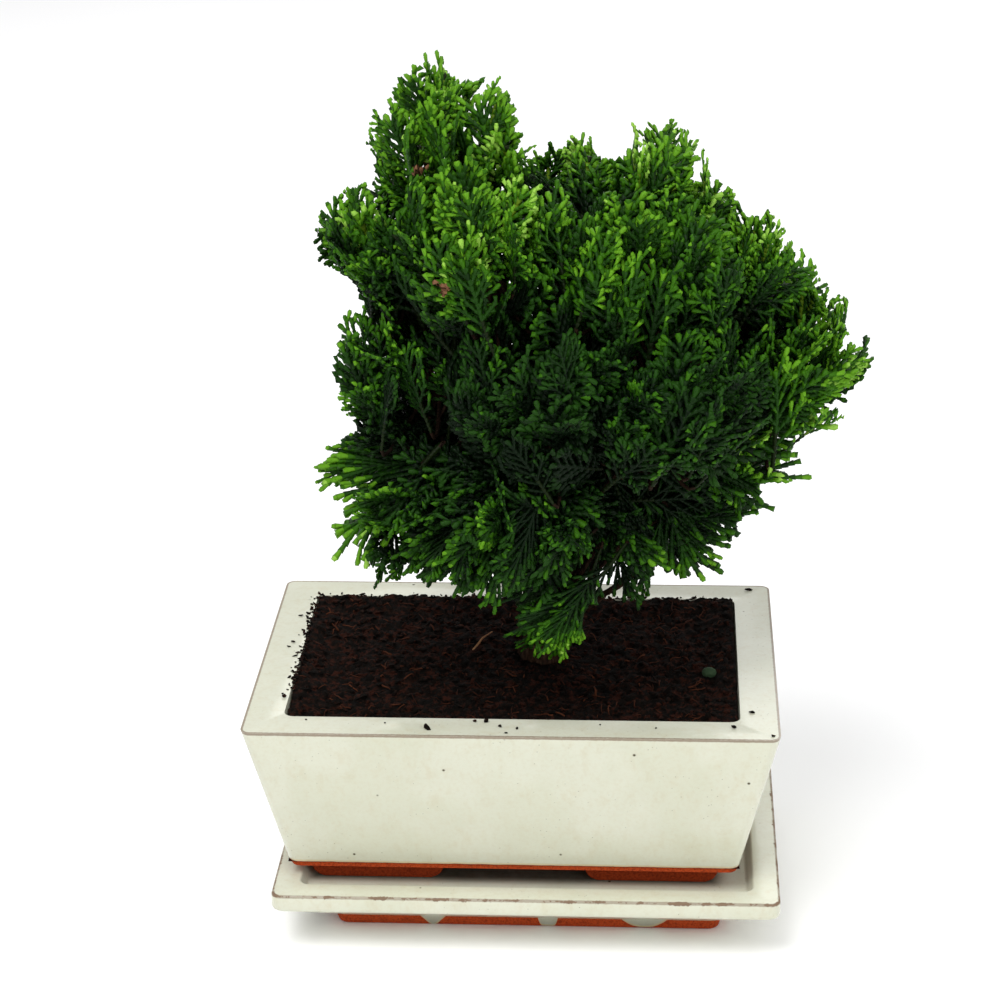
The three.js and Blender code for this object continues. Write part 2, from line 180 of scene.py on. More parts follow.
class Finish:
    """A material with its nodes. Constants are set on the shader's own sockets."""

    def __init__(self, name, constants):
        self.material = bpy.data.materials.new(name)
        self.material.use_nodes = True
        self.tree = self.material.node_tree
        self.shader = self.tree.nodes["Principled BSDF"]
        for socket, value in constants.items():
            self.shader.inputs[socket].default_value = value

    def node(self, kind, settings, inputs, output=0):
        made = self.tree.nodes.new("ShaderNode" + kind)
        for name, value in settings.items():
            if name == "stops":
                while len(made.color_ramp.elements) < len(value):
                    made.color_ramp.elements.new(0.5)
                for element, (place, colour) in zip(made.color_ramp.elements, value):
                    element.position = place
                    element.color = (*colour, 1.0)
            else:
                setattr(made, name, value)
        for name, value in inputs.items():
            if isinstance(value, Wire):
                self.tree.links.new(value.socket, made.inputs[name])
            else:
                made.inputs[name].default_value = value
        return Wire(self, made.outputs[output])

    def mix(self, share, first, second):
        """The colour share of the way from first to second."""
        colours = [c if isinstance(c, Wire) else (*c, 1.0) for c in (first, second)]
        return self.node("Mix", {"data_type": "RGBA"}, {0: share, 6: colours[0], 7: colours[1]}, 2)

    def place(self, centre=(0, 0, 0)):
        """The point on the piece in millimetres from a centre, as one vector."""
        at = self.node("TexCoord", {}, {}, "Object")
        settings = {"operation": "MULTIPLY_ADD"}
        shift = tuple(-c for c in centre)
        return self.node("VectorMath", settings, {0: at, 1: (1 / MM,) * 3, 2: shift})

    def axes(self, vector):
        return [self.node("SeparateXYZ", {}, {0: vector}, axis) for axis in "XYZ"]

    def stretch(self, vector, scale):
        return self.node("VectorMath", {"operation": "MULTIPLY"}, {0: vector, 1: scale})

    def noise(self, vector, scale, detail=2.0, roughness=0.5):
        settings = {"noise_dimensions": "3D"}
        inputs = {"Vector": vector, "Scale": scale, "Detail": detail, "Roughness": roughness}
        return self.node("TexNoise", settings, inputs)

    def cells(self, vector, scale, output="Distance"):
        return self.node("TexVoronoi", {}, {"Vector": vector, "Scale": scale}, output)

    def relief(self, height, distance, strength=1.0):
        inputs = {"Height": height, "Distance": distance * MM, "Strength": strength}
        self.drive("Normal", self.node("Bump", {}, inputs))

    def drive(self, name, wire):
        self.tree.links.new(wire.socket, self.shader.inputs[name])


def outside_of(x, y, plan):
    """How far outside a rounded rectangle a point lies, in millimetres; less than 0 is inside it."""
    over_x = abs(x) - (plan[0] / 2 - CORNER)
    over_y = abs(y) - (plan[1] / 2 - CORNER)
    corner = (over_x.most(0) ** 2 + over_y.most(0) ** 2) ** 0.5
    return corner + over_x.most(over_y).least(0) - CORNER


def glaze(name, centre, edge_plan, edge_height, clay_line, edge_width, gaps, hairline, runs=(), pot_shade=None):
    """Poured cream glaze on red clay: bare below the clay line, and worn to brown along the rim's edge."""
    finish = Finish(name, {"Specular IOR Level": 0.12, "Coat Roughness": 0.1})
    place = finish.place(centre)
    x, y, z = finish.axes(place)
    slow = finish.noise(place, 0.035, 2.0)
    fine = finish.noise(place, 0.9, 3.0, 0.6)
    ragged = finish.noise(place, 0.22, 3.0, 0.65)

    # Cream, a little greener where it is thick and yellower where it is thin, with pin-head iron specks.
    pooled = slow.step(0.42, 0.66) * 0.55 + finish.noise(place, 0.12, 3.0).step(0.45, 0.75) * 0.3
    body = finish.mix(pooled, GLAZE_CREAM, GLAZE_POOLED)
    streaks = finish.noise(finish.stretch(place, (1.0, 1.0, 0.55)), 0.3, 3.0, 0.6).step(0.46, 0.8)
    body = finish.mix(streaks * 0.25 + fine.step(0.4, 0.8) * 0.2, body, GLAZE_STAIN)
    chosen = finish.axes(finish.cells(place, SPECK_CELLS, "Color"))[0]
    specks = (1 - finish.cells(place, SPECK_CELLS).step(0.025, 0.07)) * chosen.step(0.30, 0.50)
    dusty = finish.noise(place, 0.05).step(0.42, 0.6) * 0.5
    dust = (1 - finish.cells(place, DUST_CELLS).step(0.05, 0.11)) * dusty
    body = finish.mix(specks.most(dust), body, GLAZE_SPECK)

    # The line where the glaze broke over the rim's outer edge: thin, uneven and here and there gone.
    aside = outside_of(x, y, edge_plan) + BREAK_DEPTH
    below = z - (edge_height - BREAK_DEPTH)
    from_edge = (aside ** 2 + below ** 2) ** 0.5
    patchy = finish.noise(place, 0.16, 4.0, 0.7)
    reach = edge_width * (0.25 + patchy.step(0.35, 0.75) * 1.5)
    broken = (reach - from_edge + (fine - 0.5) * edge_width * 1.6).step(-0.12, 0.22) * patchy.step(*gaps)
    thin_line = (0.38 + fine * 0.25 - from_edge).step(-0.1, 0.12) * hairline
    body = finish.mix(broken.most(thin_line) * 0.9, body, GLAZE_BROKEN)

    # Painted shade: under the pot the tray is darkened, unevenly, as if in the pot's shadow.
    if pot_shade:
        plan, offset = pot_shade
        in_pot_shade = 1 - outside_of(x - offset[0], y - offset[1], plan).step(-4.0, 1.0)
        body = finish.mix(in_pot_shade * (0.7 + patchy * 0.3), body, UNDER_POT_SHADE)

    # Bare clay under the glaze's lower edge, which wavers and has runs hanging from it in front.
    line = clay_line + (ragged - 0.5) * 0.5
    in_front = y.step(-1.0, 1.0)
    for middle, half_width, hang, power in runs:
        away = (abs(x - middle) * (1 / half_width)).least(1.0)
        line = line - (1 - away ** power) * hang * (1 - in_front)
    clay = 1 - (z - line).step(-0.12, 0.12)
    grain = finish.noise(place, 1.6, 4.0, 0.7)
    # The bare clay's red here is lightened as painted light.
    red = finish.mix(grain.step(0.3, 0.6), CLAY_DARK, CLAY_RED_LIT)
    lip = (1 - abs(z - line - 0.35).step(0.1, 0.5)) * 0.5
    body = finish.mix(lip, body, GLAZE_THIN)
    finish.drive("Base Color", finish.mix(clay, body, red))
    finish.drive("Roughness", (0.2 + fine * 0.1 + broken * 0.3) * (1 - clay) + clay * 0.85)
    finish.drive("Coat Weight", (1 - clay) * (1 - broken) * 0.5)
    thick = (1 - clay) * 0.35 - broken * 0.12 - specks * 0.1 + slow * 1.2 + fine * 0.03
    finish.relief(thick + clay * grain * 0.12, 1.0, 0.8)
    return finish.material


def select_parts(piece, kind, test):
    """In edit mode, selects the faces or edges that pass a test."""
    bpy.ops.mesh.select_mode(type=kind)
    bpy.ops.mesh.select_all(action="DESELECT")
    shape = bmesh.from_edit_mesh(piece.data)
    for part in shape.faces if kind == "FACE" else shape.edges:
        part.select_set(test(part))
    bmesh.update_edit_mesh(piece.data)


def start_block(name, plan, low, high):
    """A block of that plan between two heights, left in edit mode with only its top selected."""
    deselect_all()
    bpy.ops.mesh.primitive_cube_add(size=1, location=(0, 0, (low + high) / 2 * MM))
    block = bpy.context.object
    block.name = name
    block.scale = (plan[0] * MM, plan[1] * MM, (high - low) * MM)
    bpy.ops.object.transform_apply()
    bpy.ops.object.mode_set(mode="EDIT")
    select_parts(block, "FACE", lambda face: face.normal.z > 0.9)
    return block


def resize_to(now, new):
    """Takes the plan of what is selected from one size to another."""
    bpy.ops.transform.resize(value=(new[0] / now[0], new[1] / now[1], 1), center_override=(0, 0, 0))


def extrude_to(now, new, rise):
    """Extrudes the selected top by a rise and changes its plan."""
    bpy.ops.mesh.extrude_region_move(TRANSFORM_OT_translate={"value": (0, 0, rise * MM)})
    resize_to(now, new)


def is_upright(edge):
    one, two = (v.co for v in edge.verts)
    return abs(one.z - two.z) > 0.2 * MM and one.x * two.x > 0 and one.y * two.y > 0


def is_level_and_sharp(edge):
    one, two = (v.co for v in edge.verts)
    level = abs(one.z - two.z) < 0.02 * MM
    return level and len(edge.link_faces) == 2 and edge.calc_face_angle() > math.radians(12)


def soften(block, corner, edge_radius):
    """Rounds the upright corners, then all level edges, and leaves edit mode."""
    select_parts(block, "EDGE", is_upright)
    bpy.ops.mesh.bevel(offset=corner * MM, segments=6, affect="EDGES", clamp_overlap=True)
    select_parts(block, "EDGE", is_level_and_sharp)
    bpy.ops.mesh.bevel(offset=edge_radius * MM, segments=4, affect="EDGES", clamp_overlap=True)
    bpy.ops.mesh.select_all(action="SELECT")
    bpy.ops.mesh.remove_doubles(threshold=0.002 * MM)
    bpy.ops.mesh.normals_make_consistent(inside=False)
    bpy.ops.object.mode_set(mode="OBJECT")
    bpy.ops.object.shade_smooth_by_angle(angle=math.radians(40))


tray = start_block("tray_glazed", TRAY_PLINTH, 0.0, TRAY_HEIGHTS["plinth"])
resize_to(TRAY_PLINTH, TRAY_FLARE_FOOT)
extrude_to(TRAY_FLARE_FOOT, TRAY_OUTER, TRAY_HEIGHTS["flare"] - TRAY_HEIGHTS["plinth"])
extrude_to(TRAY_OUTER, TRAY_OUTER, TRAY_HEIGHTS["rim"] - TRAY_HEIGHTS["flare"])
extrude_to(TRAY_OUTER, TRAY_OPENING, 0.0)
extrude_to(TRAY_OPENING, TRAY_FLOOR, TRAY_HEIGHTS["floor"] - TRAY_HEIGHTS["rim"])
soften(tray, CORNER, TRAY_EDGE)

# Middle, half width and hang of each run of glaze, and how blunt it is.
TRAY_RUNS = [(-28.4, 3.9, 4.2, 1.1), (6.1, 3.0, 3.6, 5.0), (35.0, 6.8, 3.3, 2.2)]
tray_line = TRAY_HEIGHTS["plinth"] - 0.1
# Plan and middle of the painted shade on the tray under the pot.
UNDER_POT, UNDER_POT_MIDDLE = (124.0, 78.0), (-3.9, 3.7)
tray.data.materials.append(
    glaze(
        "tray_cream_glaze", (0, 0, 0), TRAY_OUTER, TRAY_HEIGHTS["rim"], tray_line,
        edge_width=0.5, gaps=(0.3, 0.5), hairline=0.65,
        runs=TRAY_RUNS, pot_shade=(UNDER_POT, UNDER_POT_MIDDLE),
    )
)
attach(tray, "root")
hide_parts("tray")

# ------------------------------ pot and its feet
# A press-moulded rectangular pot of the same red clay and cream glaze, with straight flaring walls, a
# broad flat rim and four slab feet of bare clay luted on under its unglazed foot band.

POT_CENTRE = (-3.9, 3.7, 0.0)
POT_BAND = (132.4, 84.8)
POT_FOOT = (133.7, 86.0)
POT_RIM = (155.0, 108.7)
POT_OPENING = (132.4, 86.1)
POT_FLOOR = (119.5, 73.0)
POT_HEIGHTS = {"underside": 22.5, "glaze": 24.2, "rim": 72.3, "floor": 29.0}
POT_EDGE = 0.55

pot = start_block("pot_glazed", POT_BAND, POT_HEIGHTS["underside"], POT_HEIGHTS["glaze"])
extrude_to(POT_BAND, POT_FOOT, 0.0)
extrude_to(POT_FOOT, POT_RIM, POT_HEIGHTS["rim"] - POT_HEIGHTS["glaze"])
extrude_to(POT_RIM, POT_OPENING, 0.0)
extrude_to(POT_OPENING, POT_FLOOR, POT_HEIGHTS["floor"] - POT_HEIGHTS["rim"])
soften(pot, CORNER, POT_EDGE)
pot.location = Vector(POT_CENTRE) * MM
bpy.ops.object.transform_apply()
pot_line = POT_HEIGHTS["glaze"] + 0.1
pot.data.materials.append(
    glaze(
        "pot_cream_glaze", POT_CENTRE, POT_RIM, POT_HEIGHTS["rim"], pot_line,
        edge_width=0.22, gaps=(0.34, 0.5), hairline=0.8,
    )
)
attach(pot, "root")
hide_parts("pot")

FOOT_PLAN = (40.0, 17.0)
FOOT_HEIGHTS = (16.0, 22.2)
FOOT_TAPER = 0.96
FOOT_ARCH = 3.6
FOOT_CORNER, FOOT_EDGE = 1.2, 0.5


def bare_clay(name):
    """Unglazed red earthenware: fine grain, a few dark fire marks and a dry surface."""
    finish = Finish(name, DRY)
    place = finish.place()
    grain = finish.noise(place, 1.4, 4.0, 0.7)
    marks = finish.noise(place, 0.12, 3.0).step(0.5, 0.75)
    red = finish.mix(grain.step(0.3, 0.7), CLAY_DARK, CLAY_RED)
    finish.drive("Base Color", finish.mix(marks * 0.5, red, CLAY_DARK))
    finish.drive("Roughness", 0.75 + grain * 0.2)
    finish.relief(grain + finish.cells(place, 0.8) * 0.4, 0.18)
    return finish.material


def is_end_of_sole(edge):
    one, two = (v.co for v in edge.verts)
    return max(one.z, two.z) < 0.1 * MM and abs(one.x - two.x) < MM


clay_finish = bare_clay("bare_red_clay")
foot_pattern = start_block("foot_pattern", FOOT_PLAN, 0.0, FOOT_HEIGHTS[1] - FOOT_HEIGHTS[0])
select_parts(foot_pattern, "FACE", lambda face: face.normal.z < -0.9)
bpy.ops.transform.resize(value=(FOOT_TAPER, FOOT_TAPER, 1), center_override=(0, 0, 0))
select_parts(foot_pattern, "EDGE", is_end_of_sole)
bpy.ops.mesh.bevel(offset=FOOT_ARCH * MM, segments=6, affect="EDGES")
soften(foot_pattern, FOOT_CORNER, FOOT_EDGE)
foot_pattern.data.materials.append(clay_finish)
for row in ("front", "back"):
    for side in ("left", "right"):
        node = f"pot_foot_{row}_{side}"
        low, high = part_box(node)
        foot = foot_pattern.copy()
        foot.data = foot_pattern.data.copy()
        foot.name = f"clay_foot_{row}_{side}"
        middle = (low + high) / 2
        foot.data.transform(Matrix.Translation((middle.x, middle.y, low.z)))
        link(foot)
        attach(foot, "root")
        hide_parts(node)
bpy.data.objects.remove(foot_pattern)

# ------------------------------ soil
# Peat-based potting soil pressed in by hand: a dark, lumpy bed with loose crumbs, reddish fibres, one
# green pebble and a dry twig lying on it, and a few crumbs spilt on the pot's rim.

SOIL_LEVEL = 69.7
SOIL_PLAN = (131.2, 85.0)
SOIL_FLOOR = 29.6
SOIL_FLOOR_PLAN = (118.6, 72.2)
SOIL_COLUMNS, SOIL_ROWS = 210, 136
TRUNK_FOOT = (3.0, 9.0)
FLAT_RADIUS = 13.0
HEAP_HEIGHT, HEAP_WIDTH = 2.1, 11
PEAT_BLACK, PEAT_BROWN = (0.0012, 0.0009, 0.0006), (0.0046, 0.0030, 0.0021)
PEAT_PALE, PEAT_RUST = (0.026, 0.0105, 0.0060), (0.040, 0.0110, 0.0060)


def soil_height(x, y):
    """The bed's height in millimetres: the frame's waves and lumps, heaped up at the sides and back."""
    waves = np.sin(x * 0.13 + 0.6) * np.cos(y * 0.17 - 0.4)
    lumps = np.sin(x * 0.61 + y * 0.29) * np.sin(y * 0.53 - x * 0.23 + 1.1)
    uneven = (waves * 0.6 + lumps * 0.4) * 0.75 + (y - TRUNK_FOOT[1]) * 0.018
    away = np.hypot(x - TRUNK_FOOT[0], y - TRUNK_FOOT[1]) - FLAT_RADIUS
    rise = np.clip(away / 12, 0, 1)
    to_edge = np.minimum(SOIL_PLAN[0] / 2 - abs(x - POT_CENTRE[0]), SOIL_PLAN[1] / 2 + POT_CENTRE[1] - y)
    heaped = np.clip(1 - to_edge / HEAP_WIDTH, 0, 1)
    heap = HEAP_HEIGHT * heaped * heaped * (3 - 2 * heaped)
    return SOIL_LEVEL + uneven * rise * rise * (3 - 2 * rise) + heap


def clods(x, y):
    """Fine unevenness of the bed, in millimetres."""
    coarse = noise.fractal(Vector((x * 0.32, y * 0.32, 3.1)), 0.8, 2.1, 4)
    fine = noise.noise(Vector((x * 1.1, y * 1.1, 9.4)))
    return 0.95 * coarse + 0.4 * fine


def peat(name):
    """Dark peat with rusty and near-black lumps."""
    finish = Finish(name, DRY)
    place = finish.place()
    lumps = finish.noise(place, 0.4, 5.0, 0.7)
    ramp = [(0.34, PEAT_BLACK), (0.54, PEAT_BROWN), (0.75, PEAT_PALE)]
    earth = finish.node("ValToRGB", {"stops": ramp}, {0: lumps})
    rust = finish.noise(place, 0.42, 4.0, 0.65).step(0.49, 0.62)
    finish.drive("Base Color", finish.mix(rust * 0.7, earth, PEAT_RUST))
    finish.drive("Roughness", 0.8 + lumps * 0.2)
    finish.relief(finish.noise(place, 1.3, 5.0, 0.75), 0.8)
    return finish.material


peat_finish = peat("dark_peat")
deselect_all()
bpy.ops.mesh.primitive_grid_add(x_subdivisions=SOIL_COLUMNS, y_subdivisions=SOIL_ROWS, size=1)
soil = bpy.context.object
soil.name = "soil_bed"
soil.scale = (SOIL_PLAN[0] * MM, SOIL_PLAN[1] * MM, 1)
bpy.ops.object.transform_apply()
bpy.ops.object.mode_set(mode="EDIT")
select_parts(soil, "EDGE", lambda edge: len(edge.link_faces) == 1)
extrude_to(SOIL_PLAN, SOIL_FLOOR_PLAN, SOIL_FLOOR - SOIL_LEVEL)
bpy.ops.mesh.edge_face_add()
bpy.ops.mesh.select_all(action="SELECT")
bpy.ops.mesh.normals_make_consistent(inside=False)
bpy.ops.object.mode_set(mode="OBJECT")
bpy.ops.object.shade_smooth()
floor_rise = (SOIL_FLOOR - SOIL_LEVEL) * MM
for point in soil.data.vertices:
    x, y = point.co.x / MM + POT_CENTRE[0], point.co.y / MM + POT_CENTRE[1]
    is_top = point.co.z > floor_rise / 2
    height = soil_height(x, y) + clods(x, y) if is_top else SOIL_FLOOR
    point.co = Vector((x, y, height)) * MM
soil.data.materials.append(peat_finish)
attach(soil, "root")
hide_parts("soil")


def mesh_piece(name, points, faces, materials, slots=None, smooth=True):
    """A piece made of many small faces at once, from points in millimetres."""
    mesh = bpy.data.meshes.new(name)
    faces = np.asarray(faces, np.int32)
    mesh.vertices.add(len(points))
    mesh.vertices.foreach_set("co", (np.asarray(points) * MM).astype(np.float32).ravel())
    mesh.loops.add(faces.size)
    mesh.loops.foreach_set("vertex_index", faces.ravel())
    mesh.polygons.add(len(faces))
    mesh.polygons.foreach_set("loop_start", np.arange(0, faces.size, 3, dtype=np.int32))
    for material in materials:
        mesh.materials.append(material)
    if slots is not None:
        mesh.polygons.foreach_set("material_index", np.asarray(slots, np.int32))
    mesh.polygons.foreach_set("use_smooth", np.full(len(faces), smooth))
    mesh.update(calc_edges=True)
    mesh.validate()
    piece = bpy.data.objects.new(name, mesh)
    link(piece)
    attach(piece, "root")
    return piece


def tube(route, radii, sides):
    """Points and triangles of a closed tapering tube along a route."""
    route = np.asarray(route, float)
    along = np.gradient(route, axis=0)
    along /= np.linalg.norm(along, axis=1)[:, None]
    aside = np.cross(along, (0.31, 0.23, 0.92))
    aside /= np.linalg.norm(aside, axis=1)[:, None]
    over = np.cross(along, aside)
    angles = np.arange(sides) / sides * 2 * np.pi
    ring = aside[:, None] * np.cos(angles)[None, :, None] + over[:, None] * np.sin(angles)[None, :, None]
    points = route[:, None] + ring * np.asarray(radii, float)[:, None, None]
    count = len(route)
    here = np.arange(count - 1)[:, None] * sides + np.arange(sides)[None]
    there = np.arange(count - 1)[:, None] * sides + (np.arange(sides)[None] + 1) % sides
    quads = np.stack([here, there, there + sides, here + sides], -1).reshape(-1, 4)
    walls = np.concatenate([quads[:, [0, 1, 2]], quads[:, [0, 2, 3]]])
    ends = [count * sides, count * sides + 1]
    last = (count - 1) * sides
    turn = np.arange(sides)
    after = (turn + 1) % sides
    start_cap = np.stack([np.full(sides, ends[0]), after, turn], -1)
    end_cap = np.stack([np.full(sides, ends[1]), last + turn, last + after], -1)
    points = np.concatenate([points.reshape(-1, 3), route[:1], route[-1:]])
    return points, np.concatenate([walls, start_cap, end_cap])


def join(parts):
    """Several (points, triangles) as one."""
    points, faces, start = [], [], 0
    for some_points, some_faces in parts:
        points.append(some_points)
        faces.append(some_faces + start)
        start += len(some_points)
    return np.concatenate(points), np.concatenate(faces)


CRUMBS = 3000
SPILT_CRUMBS = 420
FIBRES = 300
RIM_CRUMBS = [
    (-27.6, -46.3, 1.3), (60.3, -43.0, 1.0), (65.7, -33.2, 0.8), (71.3, -48.0, 0.7), (66.7, 54.0, 0.9),
    (-73.7, 30.6, 0.6), (-73.7, 11.3, 0.7), (-74.5, 7.7, 0.5), (-72.1, -24.9, 0.5), (-14.2, -41.2, 0.8),
    (-6.7, -44.4, 0.8), (-1.8, -45.5, 0.6), (-4.7, -48.4, 0.5), (-11.0, -41.5, 1.0), (-63.1, -41.6, 0.4),
    (-71.5, -27.0, 1.1), (22.0, -42.5, 0.5), (38.0, -44.0, 0.4), (-40.0, -43.0, 0.4),
]

deselect_all()
bpy.ops.mesh.primitive_ico_sphere_add(subdivisions=1, radius=1)
crumb_pattern = bpy.context.object
crumb_points = np.array([v.co for v in crumb_pattern.data.vertices])
crumb_faces = np.array([f.vertices for f in crumb_pattern.data.polygons])
bpy.data.objects.remove(crumb_pattern)
chance = np.random.default_rng(41)


def crumb(x, y, z, size):
    """One angular crumb of soil, lying flat-side down."""
    shape = crumb_points * chance.uniform(0.55, 1.15, (len(crumb_points), 1))
    turn = Matrix.Rotation(chance.uniform(0, 6.28), 3, Vector(chance.normal(size=3)).normalized())
    shape = shape * np.array([chance.uniform(0.8, 2.0), 0.8, 0.7]) @ np.array(turn)
    return shape * size * np.array([1.0, 1.0, 0.7]) + (x, y, z), crumb_faces


crumbs = []
for x, y, size in zip(
    chance.uniform(-0.49, 0.49, CRUMBS) * SOIL_PLAN[0] + POT_CENTRE[0],
    chance.uniform(-0.49, 0.49, CRUMBS) * SOIL_PLAN[1] + POT_CENTRE[1],
    0.3 + 1.5 * chance.random(CRUMBS) ** 3,
):
    crumbs.append(crumb(x, y, soil_height(x, y) + clods(x, y) + size * 0.15, size))
for x, y, size in RIM_CRUMBS:
    crumbs.append(crumb(x, y, POT_HEIGHTS["rim"] + size * 0.45, size))
for _ in range(SPILT_CRUMBS):
    beyond = chance.exponential(0.9) - 1.0
    size = chance.uniform(0.25, 0.8) * (0.5 if beyond > 2 else 1.0)
    if chance.random() < 0.5:
        x = POT_CENTRE[0] - POT_OPENING[0] / 2 - beyond
        y = POT_CENTRE[1] + chance.uniform(-0.3, 0.5) * POT_OPENING[1]
    else:
        x = POT_CENTRE[0] + chance.uniform(-0.5, 0.5) * POT_OPENING[0]
        y = POT_CENTRE[1] + POT_OPENING[1] / 2 + beyond
    crumbs.append(crumb(x, y, POT_HEIGHTS["rim"] + size * 0.3, size))
soil_crumbs = mesh_piece("soil_crumbs", *join(crumbs), [peat_finish], smooth=False)


def root_fibre(name, dark, pale):
    """Dead root and coir threads, from rust to straw."""
    finish = Finish(name, DRY)
    place = finish.place()
    tone = finish.noise(place, 0.09, 3.0, 0.7).step(0.35, 0.75)
    finish.drive("Base Color", finish.mix(tone, dark, pale))
    finish.drive("Roughness", 0.7 + tone * 0.2)
    finish.relief(finish.noise(place, 3.0, 2.0), 0.1)
    return finish.material


fibres = []
for _ in range(FIBRES):
    x = chance.uniform(-0.48, 0.48) * SOIL_PLAN[0] + POT_CENTRE[0]
    y = chance.uniform(-0.47, 0.47) * SOIL_PLAN[1] + POT_CENTRE[1]
    way = chance.uniform(0, 2 * np.pi)
    bend = chance.normal(0, 0.35)
    length = chance.uniform(1.8, 6.5)
    steps = np.linspace(0, 1, 5)
    angle = way + bend * steps
    route_x = np.clip(x + np.cumsum(np.cos(angle)) * length / 5, -69.0, 61.0)
    route_y = np.clip(y + np.cumsum(np.sin(angle)) * length / 5, -38.3, 45.7)
    lift = 0.3 + chance.uniform(0.1, 0.5) * np.sin(steps * np.pi)
    heights = [soil_height(a, b) + clods(a, b) + up for a, b, up in zip(route_x, route_y, lift)]
    thick = chance.uniform(0.09, 0.32)
    fibres.append(tube(np.stack([route_x, route_y, heights], -1), thick * (1.1 - 0.6 * steps), 4))
soil_fibres = mesh_piece(
    "soil_fibres", *join(fibres), [root_fibre("rusty_fibre", (0.022, 0.006, 0.003), (0.095, 0.030, 0.013))]
)

TWIG_ROUTE = [(-18.2, 9.6), (-16.9, 12.4), (-15.6, 16.0), (-12.9, 20.2)]
twig_points = [(x, y, soil_height(x, y) + 1.5 + 0.35 * i) for i, (x, y) in enumerate(TWIG_ROUTE)]
dry_twig = mesh_piece(
    "dry_twig", *tube(twig_points, (0.22, 0.34, 0.32, 0.2), 8),
    [root_fibre("straw_twig", (0.20, 0.085, 0.035), (0.36, 0.20, 0.10))],
)

deselect_all()
bpy.ops.mesh.primitive_ico_sphere_add(subdivisions=3, radius=2.3 * MM)
pebble = bpy.context.object
pebble.name = "green_pebble"
bpy.ops.object.mode_set(mode="EDIT")
bpy.ops.mesh.select_all(action="SELECT")
bpy.ops.transform.vertex_random(offset=0.12 * MM, seed=5)
bpy.ops.mesh.vertices_smooth(factor=0.5, repeat=2)
bpy.ops.transform.resize(value=(1.0, 0.85, 0.75), center_override=(0, 0, 0))
bpy.ops.object.mode_set(mode="OBJECT")
bpy.ops.object.shade_smooth()
pebble_x, pebble_y = 53.7, -4.9
pebble.location = Vector((pebble_x, pebble_y, soil_height(pebble_x, pebble_y) + 1.5)) * MM
bpy.ops.object.transform_apply()
pebble_finish = Finish("mossy_pebble", DRY)
spot = pebble_finish.noise(pebble_finish.place(), 1.2, 3.0)
pebble_finish.drive("Base Color", pebble_finish.mix(spot, (0.010, 0.026, 0.012), (0.045, 0.075, 0.036)))
pebble_finish.drive("Roughness", 0.5 + spot * 0.4)
pebble_finish.relief(spot, 0.2)
pebble.data.materials.append(pebble_finish.material)
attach(pebble, "root")

# ------------------------------ trunk and boughs
# One thin leaning trunk with a flared foot and twenty boughs that leave it on all sides. The bark is red
# brown and comes away in long narrow strips along each limb.

LIMB_NODES = ["trunk"] + [name for name in sorted(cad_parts) if name.startswith("bough_")]
VOXEL = 0.6
STRIP_DEPTH = 0.42
BARK_DARK, BARK_RED = (0.020, 0.009, 0.005), (0.075, 0.034, 0.018)
BARK_PALE, BARK_GREY = (0.175, 0.105, 0.064), (0.105, 0.080, 0.055)


def bark(name, shade_dimming):
    """Stringy red-brown bark, greyer on its ridges, with all its colours dimmed by a factor as painted
    shade.
    """
    finish = Finish(name, DRY)
    place = finish.place()
    strips = finish.noise(finish.stretch(place, (1.0, 1.0, 0.16)), 1.1, 4.0, 0.65)
    patches = finish.noise(place, 0.13, 3.0)
    colours = (BARK_DARK, BARK_RED, BARK_PALE, BARK_GREY)
    dark, red, pale, grey = [tuple(c * shade_dimming for c in colour) for colour in colours]
    ramp = [(0.32, dark), (0.52, red), (0.72, pale)]
    tone = finish.node("ValToRGB", {"stops": ramp}, {0: strips})
    finish.drive("Base Color", finish.mix(patches.step(0.5, 0.7) * 0.5, tone, grey))
    finish.drive("Roughness", 0.75 + strips * 0.25)
    finish.relief(strips, 0.5)
    return finish.material


def node_points(name):
    """A frame node's points in millimetres."""
    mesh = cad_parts[name].data
    points = np.zeros(len(mesh.vertices) * 3)
    mesh.vertices.foreach_get("co", points)
    return points.reshape(-1, 3) / MM


deselect_all()
copies = []
for name in LIMB_NODES:
    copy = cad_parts[name].copy()
    copy.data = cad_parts[name].data.copy()
    copy.parent = None
    for key in list(copy.keys()):
        del copy[key]
    link(copy)
    copy.select_set(True)
    copies.append(copy)
bpy.context.view_layer.objects.active = copies[0]
bpy.ops.object.join()
limbs = bpy.context.object
limbs.name = "trunk_and_boughs"
bpy.ops.object.mode_set(mode="EDIT")
bpy.ops.mesh.select_all(action="SELECT")
bpy.ops.mesh.remove_doubles(threshold=0.001 * MM)
bpy.ops.object.mode_set(mode="OBJECT")
remesh = limbs.modifiers.new("fuse", "REMESH")
remesh.mode = "VOXEL"
remesh.voxel_size = VOXEL * MM
bpy.ops.object.modifier_apply(modifier=remesh.name)
smooth = limbs.modifiers.new("round_off", "SMOOTH")
smooth.factor = 0.5
smooth.iterations = 3
bpy.ops.object.modifier_apply(modifier=smooth.name)

